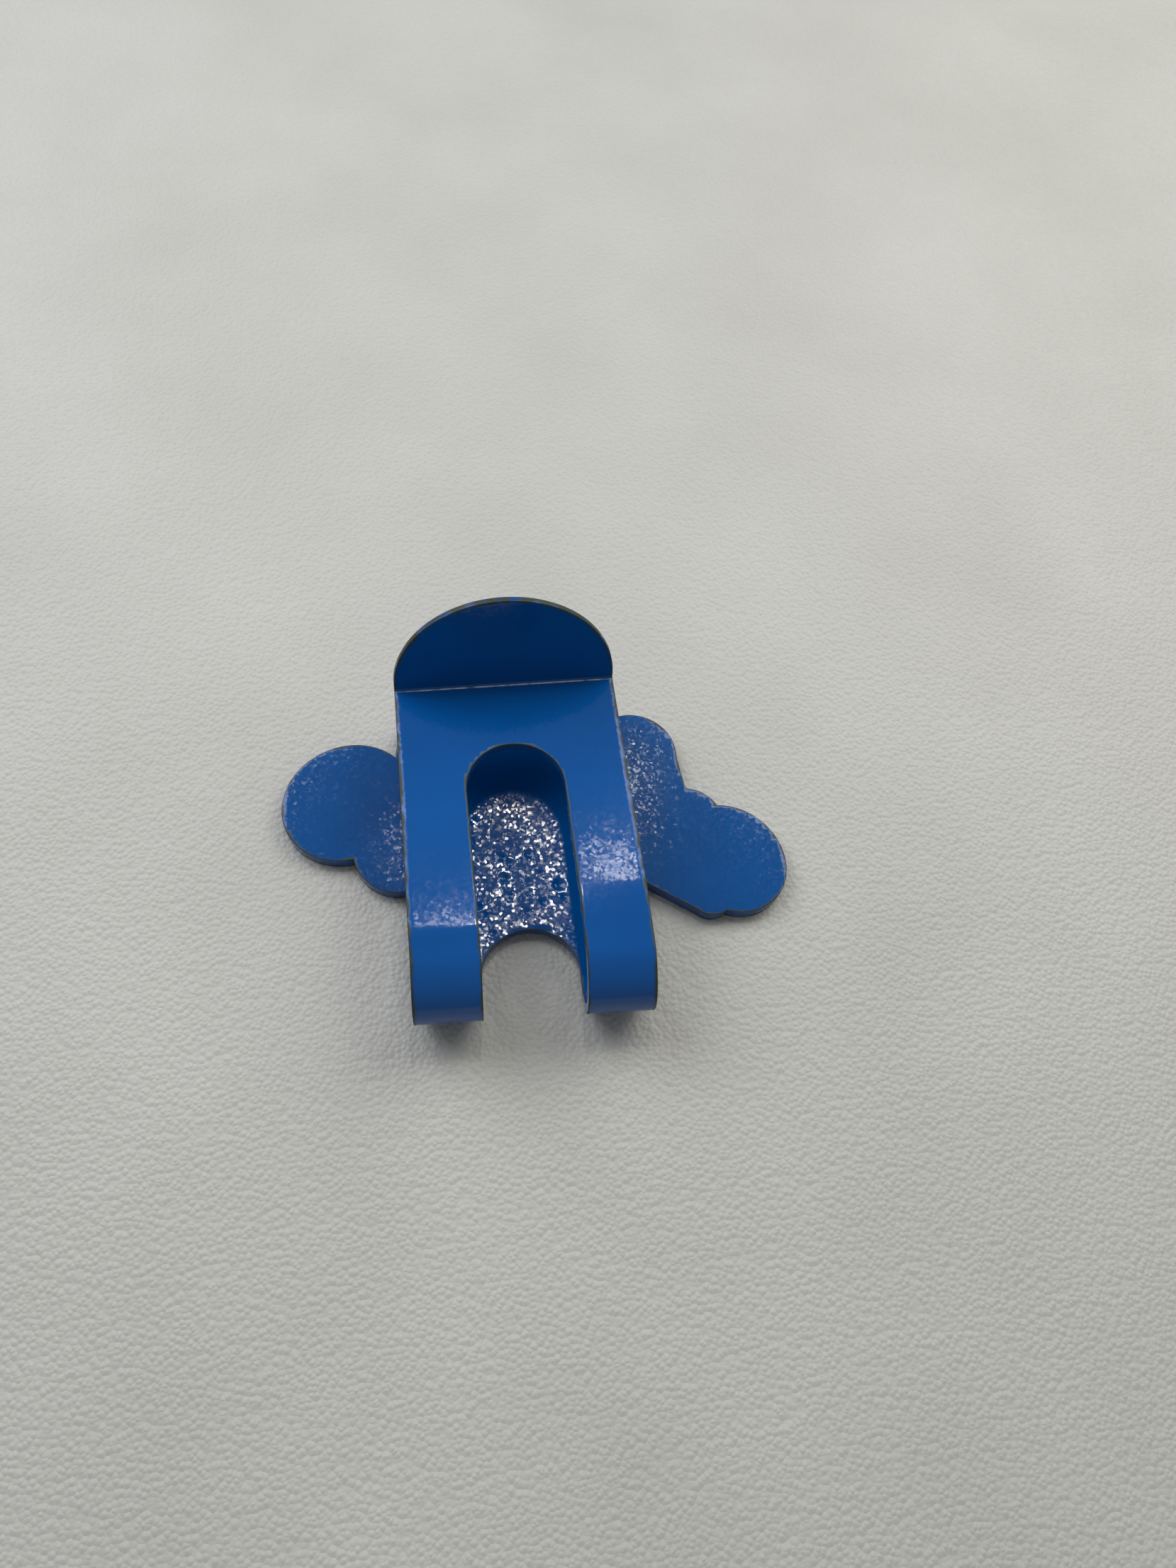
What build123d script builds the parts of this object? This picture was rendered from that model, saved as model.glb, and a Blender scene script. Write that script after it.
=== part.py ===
"""Sheet-metal spring clip with a cloud-shaped badge plate.

Frame: the badge lies face down on z = 0, its spring folded back over it.
+Z is up, +Y runs along the spring from the fold to the thumb tab, +X is across it.
The origin is on the badge's front rim, in the middle of its lower edge.
"""
import os
from math import cos, radians, sin, tan

from build123d import *

# ---- driving dimensions (mm and degrees) ----
sheet = 0.75                # thickness of the sheet, everywhere
relief = 0.35               # height of the raised rim and ridges on the front face
rim_width = 0.7             # raised rim along the badge's edge
ridge_width = 0.55          # raised ridge between two enamel cells
enamel_depth = 0.3          # enamel in the cells, a little lower than the rim

strap_width = 15.5          # the spring's width across
slot_width = 6.65           # the round-ended slot that leaves two legs
leaf_length = 5.75          # from the badge's lower edge to the start of the fold
leaf_slot_depth = 3.4       # how far the slot reaches past the fold into the leaf
fold_radius = 3.2           # outside radius of the fold
fold_over = 4.0             # the arm slopes down to the badge by this angle
arm_length = 20.1           # from the end of the fold to the crease
arm_lean = 2.1              # the arm leans to the left of the fold's normal
slot_margin = 5.0           # metal left between the slot and the crease
tab_rise = 78.0             # slope of the thumb tab above the ground
crease_radius = 0.25        # inside radius of the crease
leaf_overlap = 5.0          # how far the leaf runs into the badge

badge_turn = -7.6           # the badge sits turned on the spring
clear = 1.0                 # a cutter runs this far past what it cuts

# lobes of the cloud, in the badge's own frame: x, y, long radius, short radius, turn
puffs = {"left": (-13.0, 6.2, 4.75, 4.35, 45), "right": (14.25, 4.1, 4.3, 3.8, -45),
         "middle": (0.0, 5.55, 5.9, 5.9, 0), "shoulder": (7.0, 11.75, 3.3, 3.3, 0),
         "crown": (-2.6, 10.4, 7.55, 7.55, 0)}
small_lobes = [(-9.0, 2.85, 3.2, 3.2, 0), (11.1, 6.6, 2.7, 2.7, 0), (12.9, 1.3, 1.6, 1.6, 0)]
# the body of the cloud between its lobes
core = [(-9.0, 2.85), (0.0, 5.55), (12.3, -0.15), (14.25, 4.1), (10.95, 9.5),
        (10.2, 12.2), (7.0, 11.75), (-2.6, 10.4), (-13.0, 6.2)]

# ---- sizes that follow ----
half_width = strap_width / 2
half_slot = slot_width / 2
fold_y = -leaf_length                       # the fold's centre line
fold_z = relief + fold_radius
fold_angle = 180 + fold_over
crease_fold = tab_rise + fold_over          # angle that the crease turns through
crease_setback = crease_radius * tan(radians(crease_fold / 2))


def lobe(shape, grow=0.0):
    x, y, long_radius, short_radius, turn = shape
    return Pos(x, y) * Rot(0, 0, turn) * Ellipse(long_radius + grow, short_radius + grow)


def ring_sector(inner, outer, start, sweep):
    """Flat piece of a ring: the side view of a fold."""
    outside = CenterArc((0, 0), outer, start, sweep)
    inside = CenterArc((0, 0), inner, start, sweep)
    ends = [Line(outside @ 0, inside @ 0), Line(outside @ 1, inside @ 1)]
    return make_face([outside, inside] + ends)


def slot(reach):
    """Round-ended slot along +Y: its far end is at the origin, its other end open."""
    straight = Pos(0, -half_slot) * Rectangle(slot_width, reach, align=(Align.CENTER, Align.MAX))
    return straight + Pos(0, -half_slot) * Circle(half_slot)


def cloud_outline(grow=0.0):
    outline = offset(Polygon(*core, align=None), grow) if grow else Polygon(*core, align=None)
    for shape in list(puffs.values()) + small_lobes:
        outline += lobe(shape, grow)
    return outline


# ---- badge: the cloud and the leaf of the spring, one sheet ----
cloud = cloud_outline()
cells = {}
behind = cloud_outline(-rim_width)          # what the rim leaves for the enamel
for name, shape in puffs.items():           # each puff covers part of those after it
    cells[name] = behind & lobe(shape, -rim_width)
    behind -= lobe(shape, ridge_width - rim_width)
between = behind.faces().sort_by(Axis.X)    # what the puffs leave, left and right
cells["foot"] = Sketch() + between[0]
cells["slope"] = Sketch() + between[-1]

front_relief = cloud
for cell in cells.values():
    front_relief -= cell

leaf = Pos(0, -leaf_length) * Rectangle(
    strap_width, leaf_length + leaf_overlap, align=(Align.CENTER, Align.MIN))
back_sheet = Rot(0, 0, badge_turn) * cloud + leaf
back_sheet -= Pos(0, fold_y + leaf_slot_depth) * slot(leaf_slot_depth + clear)

cloud_plate = extrude(Pos(0, 0, relief) * back_sheet, sheet)
cloud_plate += extrude(Rot(0, 0, badge_turn) * front_relief, relief)

enamel = {}
for name, cell in cells.items():
    lowered = Pos(0, 0, relief - enamel_depth) * Rot(0, 0, badge_turn) * cell
    enamel[f"enamel_{name}"] = extrude(lowered, enamel_depth)

# ---- the two legs of the fold ----
fold_side = Plane(origin=(0, fold_y, fold_z), x_dir=(0, 1, 0), z_dir=(1, 0, 0))
leg_side = ring_sector(fold_radius - sheet, fold_radius, 270, -fold_angle)
leg_right = Pos(half_slot, 0, 0) * extrude(fold_side * leg_side, half_width - half_slot)
leg_left = mirror(leg_right, Plane.YZ)

# ---- arm and thumb tab ----
down = radians(fold_over)
arm_normal = Vector(0, sin(down), cos(down))
arm_start = Vector(0, fold_y, fold_z) + arm_normal * fold_radius
arm_top = Plane(origin=arm_start, x_dir=(1, 0, 0), z_dir=arm_normal)

leaning = Rot(0, 0, arm_lean)               # the arm's outline turns about the fold's end
arm_half = half_width * cos(radians(arm_lean))
outline = leaning * Pos(0, arm_length - crease_setback) * Rectangle(
    2 * arm_half, 2 * arm_length, align=(Align.CENTER, Align.MAX))
outline -= leaning * Pos(0, arm_length - slot_margin) * slot(arm_length)
outline &= Rectangle(4 * arm_length, 2 * arm_length, align=(Align.CENTER, Align.MIN))
arm = extrude(arm_top * outline, -sheet)

crease = arm_top * leaning * Pos(0, arm_length, 0)
crease_side = crease * Pos(-arm_half, -crease_setback, crease_radius) * Plane(
    origin=(0, 0, 0), x_dir=(0, 1, 0), z_dir=(1, 0, 0)).location
sector = ring_sector(crease_radius, crease_radius + sheet, 270, crease_fold)
turn = extrude(crease_side * sector, 2 * arm_half)

tab_start = crease * Rot(crease_fold, 0, 0) * Pos(0, crease_setback, 0)
half_disc = Circle(arm_half) & Rectangle(
    2 * strap_width, strap_width, align=(Align.CENTER, Align.MIN))
tab = extrude(tab_start * half_disc, -sheet)
clip_arm = arm + turn + tab

# ---- one STEP for each node ----
nodes = {"cloud_plate": cloud_plate, "spring_leg_left": leg_left,
         "spring_leg_right": leg_right, "clip_arm": clip_arm, **enamel}
os.makedirs("parts", exist_ok=True)
for name, solid in nodes.items():
    export_step(solid, f"parts/{name}.step")
    print(name, len(solid.solids()), round(solid.volume, 2))
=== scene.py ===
import random
from math import cos, pi, radians, sin, tan

import bmesh
import bpy
from mathutils import Matrix, Vector, kdtree, noise


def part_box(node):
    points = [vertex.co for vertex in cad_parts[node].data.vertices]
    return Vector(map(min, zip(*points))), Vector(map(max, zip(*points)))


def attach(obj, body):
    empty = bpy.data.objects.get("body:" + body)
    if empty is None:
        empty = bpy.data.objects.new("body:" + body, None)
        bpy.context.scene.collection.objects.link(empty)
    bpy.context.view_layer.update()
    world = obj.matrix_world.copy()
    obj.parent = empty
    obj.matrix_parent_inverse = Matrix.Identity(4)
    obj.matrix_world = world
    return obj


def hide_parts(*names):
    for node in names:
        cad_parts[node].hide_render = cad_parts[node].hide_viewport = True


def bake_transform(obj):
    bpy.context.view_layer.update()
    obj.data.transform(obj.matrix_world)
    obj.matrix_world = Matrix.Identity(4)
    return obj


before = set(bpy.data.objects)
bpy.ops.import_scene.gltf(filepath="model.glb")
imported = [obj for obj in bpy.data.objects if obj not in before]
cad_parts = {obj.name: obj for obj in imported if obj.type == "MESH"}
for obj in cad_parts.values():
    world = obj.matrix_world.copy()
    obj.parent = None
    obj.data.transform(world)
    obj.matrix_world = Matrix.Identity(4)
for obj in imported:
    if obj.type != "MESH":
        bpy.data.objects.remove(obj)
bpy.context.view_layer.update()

mm = 0.001
scene = bpy.context.scene
print("frame loaded,", len(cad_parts), "CAD nodes")


camera = {
    "place": (-4.195, -27.477, 76.175),     # mm, hand held above the clip
    "aim": (4.919, 7.997, 2.0),
    "roll": 10.52,                          # degrees
    "lens": 26.535,                         # on a 36 mm long side
}


def aimed(place, look, turned):
    # the place and turn of a camera or lamp that looks along look, turned about it by degrees
    turn = look.to_track_quat("-Z", "Y").to_matrix() @ Matrix.Rotation(radians(turned), 3, "Z")
    return Matrix.Translation(place) @ turn.to_4x4()


def addCamera(settings):
    data = bpy.data.cameras.new("camera")
    data.lens = settings["lens"]
    data.sensor_width = 36.0
    data.clip_start = 0.001
    data.clip_end = 10.0
    viewer = bpy.data.objects.new("camera", data)
    scene.collection.objects.link(viewer)
    place = Vector(settings["place"]) * mm
    look = Vector(settings["aim"]) * mm - place
    viewer.matrix_world = aimed(place, look, settings["roll"])
    scene.camera = viewer


addCamera(camera)
print("camera ready")


def finishPiece(name, bm, materials, smoothBelow=50):
    # the faces look outwards, and only edges sharper than smoothBelow stay crisp
    bmesh.ops.recalc_face_normals(bm, faces=bm.faces)
    for face in bm.faces:
        face.smooth = True
    for edge in bm.edges:
        edge.smooth = len(edge.link_faces) == 2 and edge.calc_face_angle(0) < radians(smoothBelow)
    mesh = bpy.data.meshes.new(name)
    bm.to_mesh(mesh)
    bm.free()
    for material in materials:
        mesh.materials.append(material)
    piece = bpy.data.objects.new(name, mesh)
    scene.collection.objects.link(piece)
    return piece


def copyNode(name):
    # a CAD node's mesh is loose triangles: merged, and its flat faces joined again
    bm = bmesh.new()
    bm.from_mesh(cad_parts[name].data)
    bmesh.ops.remove_doubles(bm, verts=bm.verts, dist=0.002 * mm)
    bmesh.ops.dissolve_limit(bm, angle_limit=radians(0.6), verts=bm.verts, edges=bm.edges)
    return bm


def nearest(points):
    # finds how far a place is from the nearest of some points
    tree = kdtree.KDTree(len(points))
    for index, point in enumerate(points):
        tree.insert(point, index)
    tree.balance()
    return lambda place: tree.find(place)[2]


def cutAcross(bm, axis, cuts):
    # cuts the whole mesh at each place along one axis
    normal = Vector((0, 0, 0))
    normal[axis] = 1
    for cut in cuts:
        geometry = bm.verts[:] + bm.edges[:] + bm.faces[:]
        bmesh.ops.bisect_plane(bm, geom=geometry, dist=0.0005 * mm,
                               plane_co=normal * cut, plane_no=normal)


def steps(start, end, pitch):
    count = max(1, round((end - start) / pitch))
    return [start + (end - start) * i / count for i in range(count + 1)]


def roundEdges(bm, edges, width, segments):
    bmesh.ops.bevel(bm, geom=edges, offset=width, offset_type="OFFSET", segments=segments,
                    profile=0.5, affect="EDGES", material=-1, clamp_overlap=True)


def noteWear(bm, seamAt, fullWear=23):
    # the lacquer is thin where the sheet turns by fullWear degrees: kept on the points for the material.
    # The seam where leaf and legs meet is whole metal, so it stays covered
    wear = bm.verts.layers.float.new("wear")
    for vert in bm.verts:
        turns = [edge.calc_face_angle(0) for edge in vert.link_edges
                 if any(abs(end.co.y - seamAt) > 0.002 * mm for end in edge.verts)]
        vert[wear] = ease(max(turns, default=0) / radians(fullWear))
    return wear


def crispEdges(bm, angle, skip):
    return [e for e in bm.edges if len(e.link_faces) == 2
            and e.calc_face_angle(0) > radians(angle) and not skip(e)]


def ease(value):
    value = min(1.0, max(0.0, value))
    return value * value * (3 - 2 * value)


def dent(bm, marks, top, margin=0.3):
    # marks: (x, y, radius, depth) in mm. The faces under a mark are divided, then pressed in
    touched = set()
    for face in bm.faces:
        middle = face.calc_center_median()
        for x, y, radius, depth in marks:
            if middle.z > top and (middle.xy / mm - Vector((x, y))).length < radius + margin:
                touched.update(face.edges)
    bmesh.ops.subdivide_edges(bm, edges=list(touched), cuts=3, use_grid_fill=True)
    bm.normal_update()
    for vert in bm.verts:
        if vert.normal.z < 0.5:
            continue
        for x, y, radius, depth in marks:
            gap = (vert.co.xy / mm - Vector((x, y))).length
            if gap < radius:
                vert.co.z -= depth * mm * ease(1 - gap / radius)


def linear(code):
    channels = [int(code[i:i + 2], 16) / 255 for i in (1, 3, 5)]
    return [c / 12.92 if c <= 0.04045 else ((c + 0.055) / 1.055) ** 2.4 for c in channels] + [1.0]


def addNode(tree, kind, inputs=None, links=None, **settings):
    node = tree.nodes.new(kind)
    for key, value in settings.items():
        setattr(node, key, value)
    for socket, value in (inputs or {}).items():
        node.inputs[socket].default_value = value
    for socket, source in (links or {}).items():
        tree.links.new(source, node.inputs[socket])
    return node


def newMaterial(name):
    material = bpy.data.materials.new(name)
    material.use_nodes = True
    tree = material.node_tree
    tree.nodes.clear()
    shader = addNode(tree, "ShaderNodeBsdfPrincipled")
    addNode(tree, "ShaderNodeOutputMaterial", links={"Surface": shader.outputs[0]})
    place = addNode(tree, "ShaderNodeTexCoord").outputs["Object"]
    return material, tree, shader, place


def perMetre(size):
    return 1000.0 / size      # a pattern's scale from the size of one grain in mm


# Stoving lacquer dipped over stamped steel: deep blue with a satin gloss. Its skin has a fine
# grain that breaks the light into glints, and it runs thin and olive on every stamped edge.
strapLacquer = {
    "blue": "#0056a2", "deep": "#004c92", "cloudSize": 7.0,
    # the pale crease colour is a painted highlight along the crease
    "edge": "#27331f", "edgePatch": 0.9, "edgeRough": 0.55, "paintedHighlight": "#b9cbe0",
    "rough": (0.09, 0.13),
    "grain": 0.2, "grainTilt": 0.028, "thickTilt": 0.028,     # coarser than real, so that it shows
    "orangePeel": 0.9, "orangeDepth": 0.003,
}
plateLacquer = {
    "blue": "#005297", "deep": "#004482", "cloudSize": 4.0,
    # the pale crease colour is a painted highlight along the crease
    "edge": "#232d20", "edgePatch": 0.7, "edgeRough": 0.55, "paintedHighlight": "#b9cbe0",
    "rough": (0.09, 0.14),
    "grain": 0.17, "grainTilt": 0.05, "thickTilt": 0.18,
    "orangePeel": 0.8, "orangeDepth": 0.004,
}


# the crease entry fades in the painted highlight along the crease
fade = {"wear": (0.14, 0.42), "paintedHighlight": (0.3, 0.55)}      # where each begins and is full
thickPatch = {"centre": (-2.4, 2.0, 1.1), "inner": 2.6, "outer": 6.2}      # mm, under the arm


def blueLacquer(name, look, patch=thickPatch):
    material, tree, shader, place = newMaterial(name)
    cloudy = addNode(tree, "ShaderNodeTexNoise", {"Scale": perMetre(look["cloudSize"]), "Detail": 3.0},
                     {"Vector": place})
    body = addNode(tree, "ShaderNodeMix", {6: linear(look["blue"]), 7: linear(look["deep"])},
                   {"Factor": cloudy.outputs["Fac"]}, data_type="RGBA")
    # thin lacquer on the edges: the wear noted on the mesh, broken up into patches
    wear = addNode(tree, "ShaderNodeAttribute", attribute_name="wear")
    patches = addNode(tree, "ShaderNodeTexNoise", {"Scale": perMetre(look["edgePatch"]), "Detail": 4.0},
                      {"Vector": place})
    amount = addNode(tree, "ShaderNodeMath", None, {0: wear.outputs["Fac"], 1: patches.outputs["Fac"]},
                     operation="MULTIPLY")
    shown = addNode(tree, "ShaderNodeMapRange",
                    {"From Min": fade["wear"][0], "From Max": fade["wear"][1]},
                    {"Value": amount.outputs[0]}, interpolation_type="SMOOTHSTEP")
    colour = addNode(tree, "ShaderNodeMix", {7: linear(look["edge"])},
                     {"Factor": shown.outputs[0], 6: body.outputs[2]}, data_type="RGBA")
    # a painted highlight: a pale line painted along the crease, standing in for the glint of light there
    crease = addNode(tree, "ShaderNodeAttribute", attribute_name="paintedHighlight")
    highlightShare = addNode(tree, "ShaderNodeMath", None,
                     {0: crease.outputs["Fac"], 1: patches.outputs["Fac"]}, operation="MULTIPLY")
    bright = addNode(tree, "ShaderNodeMapRange",
                     {"From Min": fade["paintedHighlight"][0], "From Max": fade["paintedHighlight"][1]},
                     {"Value": highlightShare.outputs[0]}, interpolation_type="SMOOTHSTEP")
    finish = addNode(tree, "ShaderNodeMix", {7: linear(look["paintedHighlight"])},
                     {"Factor": bright.outputs[0], 6: colour.outputs[2]}, data_type="RGBA")
    tree.links.new(finish.outputs[2], shader.inputs["Base Color"])
    # satin: the gloss wanders a little, and the thin edges are duller
    gloss = addNode(tree, "ShaderNodeMapRange",
                    {"To Min": look["rough"][0], "To Max": look["rough"][1]},
                    {"Value": patches.outputs["Fac"]})
    dull = addNode(tree, "ShaderNodeMix", {3: look["edgeRough"]},
                   {"Factor": shown.outputs[0], 2: gloss.outputs[0]}, data_type="FLOAT")
    tree.links.new(dull.outputs[0], shader.inputs["Roughness"])
    # the skin of the lacquer: soft orange peel, and grains that glint
    peel = addNode(tree, "ShaderNodeTexNoise", {"Scale": perMetre(look["orangePeel"]), "Detail": 2.0},
                   {"Vector": place})
    grain = addNode(tree, "ShaderNodeTexVoronoi", {"Scale": perMetre(look["grain"])}, {"Vector": place},
                    feature="F1")
    soft = addNode(tree, "ShaderNodeBump", {"Strength": 1.0, "Distance": look["orangeDepth"] * mm},
                   {"Height": peel.outputs["Fac"]})
    # the lacquer dried thick and crystalline in the middle, under the arm: more tilt in each grain
    middle = addNode(tree, "ShaderNodeVectorMath", {1: Vector(patch["centre"]) * mm}, {0: place},
                     operation="DISTANCE")
    tilt = addNode(tree, "ShaderNodeMapRange",
                   {"From Min": patch["inner"] * mm, "From Max": patch["outer"] * mm,
                    "To Min": look["thickTilt"], "To Max": look["grainTilt"]},
                   {"Value": middle.outputs["Value"]}, interpolation_type="SMOOTHSTEP")
    lean = addNode(tree, "ShaderNodeVectorMath", {1: (0.5, 0.5, 0.5)}, {0: grain.outputs["Color"]},
                   operation="SUBTRACT")
    facet = addNode(tree, "ShaderNodeVectorMath", None, {0: lean.outputs[0], "Scale": tilt.outputs[0]},
                    operation="SCALE")
    tilted = addNode(tree, "ShaderNodeVectorMath", None, {0: facet.outputs[0], 1: soft.outputs[0]},
                     operation="ADD")
    skin = addNode(tree, "ShaderNodeVectorMath", None, {0: tilted.outputs[0]}, operation="NORMALIZE")
    tree.links.new(skin.outputs[0], shader.inputs["Normal"])
    shader.inputs["IOR"].default_value = 1.5
    return material


# Resin enamel poured into the struck cells and cured: glassy, level, with a few dust specks
softEnamelLook = {
    "drift": 2.5, "wave": 3.0, "waveDepth": 0.008,      # mm
    "specks": 1.1, "speckShare": 0.16, "speckDepth": 0.01,
    "rough": (0.08, 0.2),
}


def softEnamel(name, main, second, look=softEnamelLook):
    material, tree, shader, place = newMaterial(name)
    drift = addNode(tree, "ShaderNodeTexNoise", {"Scale": perMetre(look["drift"]), "Detail": 2.0},
                    {"Vector": place})
    body = addNode(tree, "ShaderNodeMix", {6: linear(main), 7: linear(second)},
                   {"Factor": drift.outputs["Fac"]}, data_type="RGBA")
    tree.links.new(body.outputs[2], shader.inputs["Base Color"])
    specks = addNode(tree, "ShaderNodeTexVoronoi", {"Scale": perMetre(look["specks"])}, {"Vector": place})
    speck = addNode(tree, "ShaderNodeMapRange",
                    {"From Min": 0.0, "From Max": look["speckShare"], "To Min": 1.0, "To Max": 0.0},
                    {"Value": specks.outputs["Distance"]})
    wave = addNode(tree, "ShaderNodeTexNoise", {"Scale": perMetre(look["wave"]), "Detail": 1.0},
                   {"Vector": place})
    level = addNode(tree, "ShaderNodeBump", {"Strength": 1.0, "Distance": look["waveDepth"] * mm},
                    {"Height": wave.outputs["Fac"]})
    dust = addNode(tree, "ShaderNodeBump", {"Strength": 0.6, "Distance": look["speckDepth"] * mm},
                   {"Height": speck.outputs[0], "Normal": level.outputs[0]})
    tree.links.new(dust.outputs[0], shader.inputs["Normal"])
    gloss = addNode(tree, "ShaderNodeMapRange",
                    {"To Min": look["rough"][0], "To Max": look["rough"][1]},
                    {"Value": drift.outputs["Fac"]})
    tree.links.new(gloss.outputs[0], shader.inputs["Roughness"])
    shader.inputs["IOR"].default_value = 1.52
    shader.inputs["Coat Weight"].default_value = 0.4
    shader.inputs["Coat Roughness"].default_value = 0.05
    return material


satinBlue = blueLacquer("satinBlueLacquer", strapLacquer)
grainyBlue = blueLacquer("grainyBlueLacquer", plateLacquer)
whiteEnamel = softEnamel("whiteEnamel", "#eef0ee", "#e4e8ea")
skyEnamel = softEnamel("skyEnamel", "#86c3ec", "#78b8e6")
print("materials ready")


quarters = (0.25, 0.5, 0.75)            # rows round the sheet's edge
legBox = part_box("spring_leg_right")
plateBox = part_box("cloud_plate")
strip = {
    "sheet": plateBox[1].z - legBox[0].z,
    "halfWidth": legBox[1].x,
    "halfSlot": legBox[0].x,
    "foldRadius": (legBox[1].z - legBox[0].z) / 2,
    "foldOver": radians(4.0),           # the arm slopes down to the badge
    "armLength": 20.1 * mm,
    "lean": radians(2.1),               # the arm leans to the left
    "slotMargin": 5.0 * mm,             # metal between the slot and the crease
    "tabRise": radians(78.0),
    "creaseRadius": 0.25 * mm,
    "roundWidth": 0.075 * mm,
    "pitch": 0.42 * mm,
    # the bend creeps into the arm, with a kink on the left leg: how far, how deep
    "creepLeft": (1.7 * mm, 0.55 * mm), "creepRight": (4.2 * mm, 0.58 * mm),
    "creepPeak": 1.6 * mm, "creepEnd": 6.0 * mm,
    "foldRows": 72, "creaseRows": 10,
    "tabSteps": 72, "slotSteps": 48,    # round ends of the blank
    "rimThinner": 0.42,                 # the tab's rim is coined thinner by this share
    "rimStart": 0.82,                   # from this share of the half width outwards
    "rimEase": 3.0 * mm,                # and that comes in over this length of the tab
    "rimWear": 0.75,
    "wave": 0.012 * mm, "waveLength": 5.0 * mm,      # the sheet is never quite flat
    "settle": 5.0 * mm,                 # the lean comes in over this length of the arm
    # the painted highlight is a pale line laid on this share of the crease
    "paintedHighlightFrom": 0.12, "paintedHighlightTo": 0.45,          # the bright line's share of the crease
}
strip["foldY"] = legBox[0].y + strip["foldRadius"]
strip["foldZ"] = legBox[0].z + strip["foldRadius"]
strip["foldLength"] = strip["foldRadius"] * (pi + strip["foldOver"])
strip["turn"] = strip["tabRise"] + strip["foldOver"]
strip["creaseStart"] = strip["armLength"] - strip["creaseRadius"] * tan(strip["turn"] / 2)
strip["creaseLength"] = strip["creaseRadius"] * strip["turn"]


def bendCreep(x, u, s):
    # how far the sheet lies inside the true fold, u from the fold's end along the arm
    start, deep = s["creepLeft"] if x < 0 else s["creepRight"]
    if u > start or u < -s["creepEnd"]:
        return 0.0
    if u < -s["creepPeak"]:
        return deep * ease((u + s["creepEnd"]) / (s["creepEnd"] - s["creepPeak"]))
    share = (start - u) / (start + s["creepPeak"])
    return deep * (sin(share * pi / 2) if x < 0 else ease(share))


def foldBlank(point, s):
    # bends one point of the flat blank: x across, y along the strip, -z below its outer face
    x, along, depth = point.x, point.y, -point.z
    tabCentre = s["foldLength"] + s["creaseStart"] + s["creaseLength"]
    if along > tabCentre:
        outward = Vector((x, along - tabCentre)).length / s["halfWidth"]
        rising = ease((along - tabCentre) / s["rimEase"])
        depth *= 1 - s["rimThinner"] * ease((outward - s["rimStart"]) / (1 - s["rimStart"])) * rising
    wave = s["wave"] * (noise.noise(Vector((x, along, 0)) / s["waveLength"]) + 1)
    depth += bendCreep(x, along - s["foldLength"], s) + wave * ease(along / (2 * mm))
    if along <= s["foldLength"]:
        angle = along / s["foldRadius"]
        radius = s["foldRadius"] - depth
        return Vector((x, s["foldY"] - radius * sin(angle), s["foldZ"] - radius * cos(angle)))
    u = along - s["foldLength"]
    up = -depth
    inner = s["creaseRadius"] + depth
    if u > s["creaseStart"]:
        angle = min(s["turn"], (u - s["creaseStart"]) / s["creaseRadius"])
        beyond = max(0.0, u - s["creaseStart"] - s["creaseLength"])
        u = s["creaseStart"] + inner * sin(angle) + beyond * cos(angle)
        up = s["creaseRadius"] - inner * cos(angle) + beyond * sin(angle)
    settle = ease(u / s["settle"])
    across = x * (1 - settle * sin(s["lean"]) ** 2) - u * sin(s["lean"])
    ahead = u * cos(s["lean"]) + x * sin(s["lean"]) * settle
    normal = Vector((0, sin(s["foldOver"]), cos(s["foldOver"])))
    forward = Vector((0, cos(s["foldOver"]), -sin(s["foldOver"])))
    start = Vector((0, s["foldY"], s["foldZ"])) + normal * s["foldRadius"]
    return start + Vector((across, 0, 0)) + forward * ahead + normal * up


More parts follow.
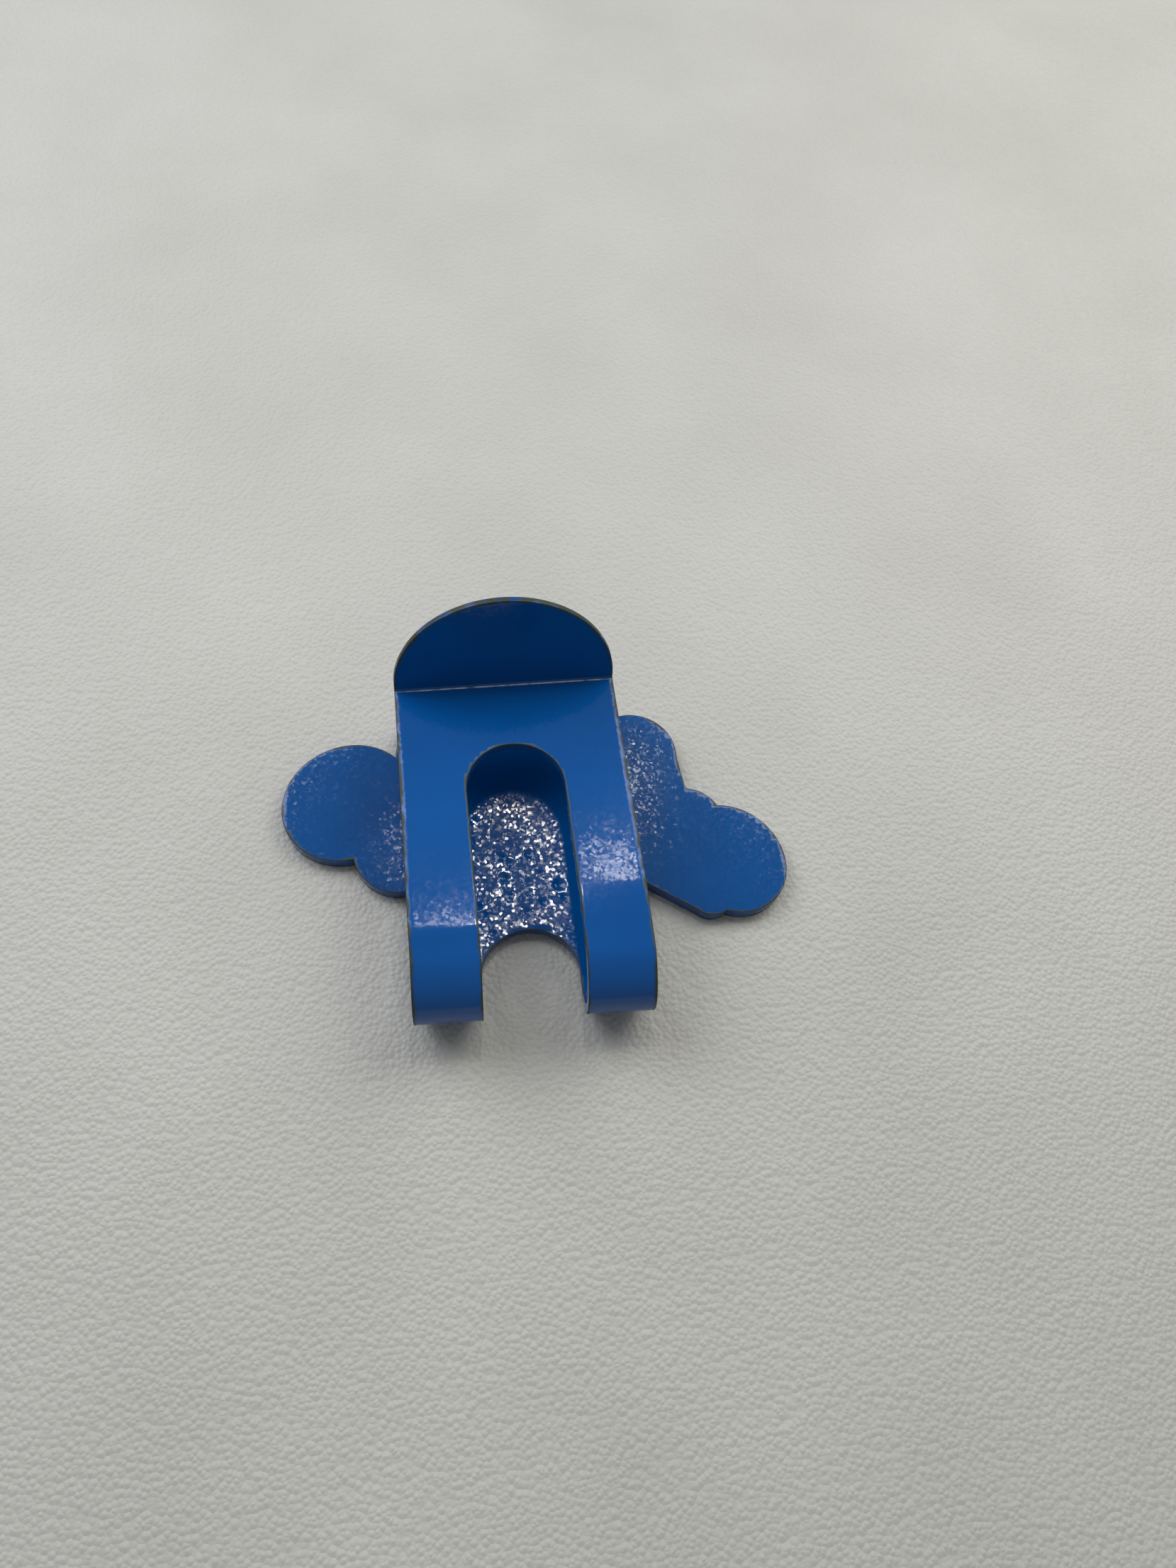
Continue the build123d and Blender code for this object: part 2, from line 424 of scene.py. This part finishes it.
def makeStrip(s):
    bm = bmesh.new()
    tabCentre = s["foldLength"] + s["creaseStart"] + s["creaseLength"]
    slotCentre = s["foldLength"] + s["armLength"] - s["slotMargin"] - s["halfSlot"]
    # the blank's outline: two half rounds, joined down to the ends of the legs
    for radius, centre, count in ((s["halfWidth"], tabCentre, s["tabSteps"]),
                                  (s["halfSlot"], slotCentre, s["slotSteps"])):
        first = bm.verts.new((radius, centre, 0))
        bmesh.ops.spin(bm, geom=[first], cent=(0, centre, 0), axis=(0, 0, 1), angle=pi, steps=count)
        bm.verts.ensure_lookup_table()
        last = bm.verts[-1]
        for end in (first, last):
            foot = bm.verts.new((end.co.x, 0, 0))
            bm.edges.new((end, foot))
    feet = sorted((v for v in bm.verts if v.co.y == 0), key=lambda v: v.co.x)
    bm.edges.new(feet[0:2])
    bm.edges.new(feet[2:4])
    blank = bmesh.ops.contextual_create(bm, geom=bm.edges[:])["faces"]
    below = bmesh.ops.extrude_face_region(bm, geom=blank)["geom"]
    lower = [v for v in below if isinstance(v, bmesh.types.BMVert)]
    bmesh.ops.translate(bm, vec=(0, 0, -s["sheet"]), verts=lower)
    bmesh.ops.recalc_face_normals(bm, faces=bm.faces)
    rims = crispEdges(bm, 60, lambda e: all(v.co.y < 0.01 * mm for v in e.verts)
                      or abs(e.verts[0].co.z - e.verts[1].co.z) > 0.1 * mm)
    roundEdges(bm, rims, s["roundWidth"], 3)
    creaseAt = s["foldLength"] + s["creaseStart"]
    cutAcross(bm, 1, steps(0, s["foldLength"], s["foldLength"] / s["foldRows"])[1:])
    cutAcross(bm, 1, steps(s["foldLength"], creaseAt, s["pitch"])[1:])
    cutAcross(bm, 1, steps(creaseAt, creaseAt + s["creaseLength"], s["creaseLength"] / s["creaseRows"])[1:])
    cutAcross(bm, 1, steps(tabCentre, tabCentre + s["halfWidth"], s["pitch"])[1:-1])
    cutAcross(bm, 0, steps(-s["halfWidth"], s["halfWidth"], s["pitch"])[1:-1])
    cutAcross(bm, 2, [-s["sheet"] * share for share in quarters])
    wear = noteWear(bm, 0.0)
    # a painted highlight: the outer face of the crease is marked for a pale line painted over this share of
    # it
    paintedHighlight = bm.verts.layers.float.new("paintedHighlight")
    for vert in bm.verts:
        into = (vert.co.y - creaseAt) / s["creaseLength"]
        outside = vert.co.z > -0.01 * mm
        vert[paintedHighlight] = 1.0 if outside and s["paintedHighlightFrom"] < into < s["paintedHighlightTo"] else 0.0
        if vert.co.y > tabCentre and -s["sheet"] < vert.co.z < 0:
            vert[wear] = max(vert[wear], s["rimWear"])
    for vert in bm.verts:
        vert.co = foldBlank(vert.co, s)
    return finishPiece("springStrip", bm, [satinBlue])


springStrip = makeStrip(strip)
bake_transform(springStrip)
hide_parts("spring_leg_left", "spring_leg_right", "clip_arm")
print("spring strip folded:", len(springStrip.data.polygons), "faces")


plate = {
    "roundWidth": 0.075 * mm,
    "pitch": 0.45 * mm,
    "seed": 11,
    # where the struck face is dented: x, y, reach, how many, largest radius, depth (mm)
    "dents": [(-1.2, 0.8, 4.0, 18, 0.5, 0.17), (9.0, 10.0, 3.2, 26, 0.22, 0.04),
              (8.5, 5.0, 3.0, 8, 0.2, 0.03), (-11.5, 5.5, 5.5, 12, 0.18, 0.03)],
}


def makePlate(p):
    bm = copyNode("cloud_plate")
    leafEnd = plateBox[0].y
    roundEdges(bm, crispEdges(bm, 40, lambda e: all(v.co.y < leafEnd + 0.001 * mm for v in e.verts)),
               p["roundWidth"], 3)
    cutAcross(bm, 0, steps(plateBox[0].x, plateBox[1].x, p["pitch"])[1:-1])
    cutAcross(bm, 1, steps(plateBox[0].y, plateBox[1].y, p["pitch"])[1:-1])
    cutAcross(bm, 2, [plateBox[1].z - strip["sheet"] * share for share in quarters])
    noteWear(bm, leafEnd)
    dice = random.Random(p["seed"])
    marks = []
    for x, y, reach, count, radius, depth in p["dents"]:
        for _ in range(count):
            size = dice.uniform(0.45, 1.0)
            away = reach * dice.random() ** 0.7
            angle = dice.uniform(0, 2 * pi)
            marks.append((x + away * cos(angle), y + away * sin(angle), radius * size, depth * size))
    dent(bm, marks, plateBox[1].z - 0.01 * mm)
    return finishPiece("cloudPlate", bm, [grainyBlue])


cloudPlate = makePlate(plate)
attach(cloudPlate, "badge")
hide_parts("cloud_plate")
print("cloud plate struck:", len(cloudPlate.data.polygons), "faces")


enamel = {
    "pitch": 0.3 * mm,
    "creep": 0.55 * mm,         # the enamel climbs the ridges over this width
    "climb": 0.035 * mm,
    "sag": 0.02 * mm,           # and lies a little lower in the middle
    "cells": {"left": "white", "right": "white", "middle": "white",
              "crown": "sky", "shoulder": "sky", "foot": "sky", "slope": "sky"},
}


def fillCell(cell, colour, e):
    bm = copyNode("enamel_" + cell)
    low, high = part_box("enamel_" + cell)
    level = low.z
    rim = nearest([v.co.copy() for v in bm.verts if abs(v.co.z - level) < 0.001 * mm])
    cutAcross(bm, 0, steps(low.x, high.x, e["pitch"])[1:-1])
    cutAcross(bm, 1, steps(low.y, high.y, e["pitch"])[1:-1])
    for vert in bm.verts:
        if abs(vert.co.z - level) < 0.001 * mm:
            inside = ease(rim(vert.co) / e["creep"])
            vert.co.z += e["sag"] * inside - e["climb"] * (1 - inside)
    material = whiteEnamel if colour == "white" else skyEnamel
    piece = finishPiece("enamel" + cell.capitalize(), bm, [material])
    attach(piece, "badge")
    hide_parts("enamel_" + cell)


for cell, colour in enamel["cells"].items():
    fillCell(cell, colour, enamel)
print("enamel poured")


desk = {
    "reach": 0.6,               # m
    "pale": "#cbcbc4", "shade": "#b6b5ae",
    "pebble": 0.34,             # mm, the moulded grain of the desk top
    "pebbleDepth": 0.07, "drift": 18.0, "roughness": 0.55,
}


def makeDesk(d):
    # a moulded top: matt, slightly mottled, with a fine pebble that breaks up the light
    material, tree, shader, place = newMaterial("pebbledDeskTop")
    drift = addNode(tree, "ShaderNodeTexNoise", {"Scale": perMetre(d["drift"]), "Detail": 3.0},
                    {"Vector": place})
    body = addNode(tree, "ShaderNodeMix", {6: linear(d["pale"]), 7: linear(d["shade"])},
                   {"Factor": drift.outputs["Fac"]}, data_type="RGBA")
    tree.links.new(body.outputs[2], shader.inputs["Base Color"])
    pebble = addNode(tree, "ShaderNodeTexVoronoi", {"Scale": perMetre(d["pebble"])}, {"Vector": place})
    bump = addNode(tree, "ShaderNodeBump", {"Strength": 1.0, "Distance": d["pebbleDepth"] * mm},
                   {"Height": pebble.outputs["Distance"]}, invert=True)
    tree.links.new(bump.outputs[0], shader.inputs["Normal"])
    shader.inputs["Roughness"].default_value = d["roughness"]
    bm = bmesh.new()
    bmesh.ops.create_circle(bm, cap_ends=True, segments=96, radius=d["reach"])
    bmesh.ops.translate(bm, vec=(0, 0, -0.01 * mm), verts=bm.verts)
    finishPiece("deskTop", bm, [material])


makeDesk(desk)

lights = {
    # name: place (mm), aim (mm), size across and along (mm), turn (degrees), watts, colour
    "deskLamp": ((5.0, 57, 150), (0, 2, 0), (8, 17), 0, 0.022, "#fff8ee"),
    "rightTube": ((27, 79, 150), (5, 0, 6), (11, 2.5), -14, 0.0034, "#f6faff"),
    "leftTube": ((-9, 66.5, 150), (-5, 0, 6), (10, 2), -14, 0.0017, "#f6faff"),
    "leftPanel": ((-155, 145, 190), (0, 0, 0), (190, 190), 0, 0.48, "#f4f7ff"),
    "rightPanel": ((170, 145, 190), (0, 0, 0), (190, 190), 0, 0.42, "#fffdf8"),
}
for name, (place, aim, size, turned, watts, tint) in lights.items():
    lamp = bpy.data.lights.new(name, "AREA")
    lamp.shape = "RECTANGLE"
    lamp.size = size[0] * mm
    lamp.size_y = size[1] * mm
    lamp.energy = watts
    lamp.color = linear(tint)[:3]
    holder = bpy.data.objects.new(name, lamp)
    scene.collection.objects.link(holder)
    where = Vector(place) * mm
    holder.matrix_world = aimed(where, Vector(aim) * mm - where, turned)

room = {"tint": "#dfe2e4", "strength": 0.28}
world = bpy.data.worlds.new("paleRoom")
world.use_nodes = True
background = world.node_tree.nodes["Background"]
background.inputs["Color"].default_value = linear(room["tint"])
background.inputs["Strength"].default_value = room["strength"]
scene.world = world
scene.view_settings.view_transform = "Standard"
print("desk and light ready")
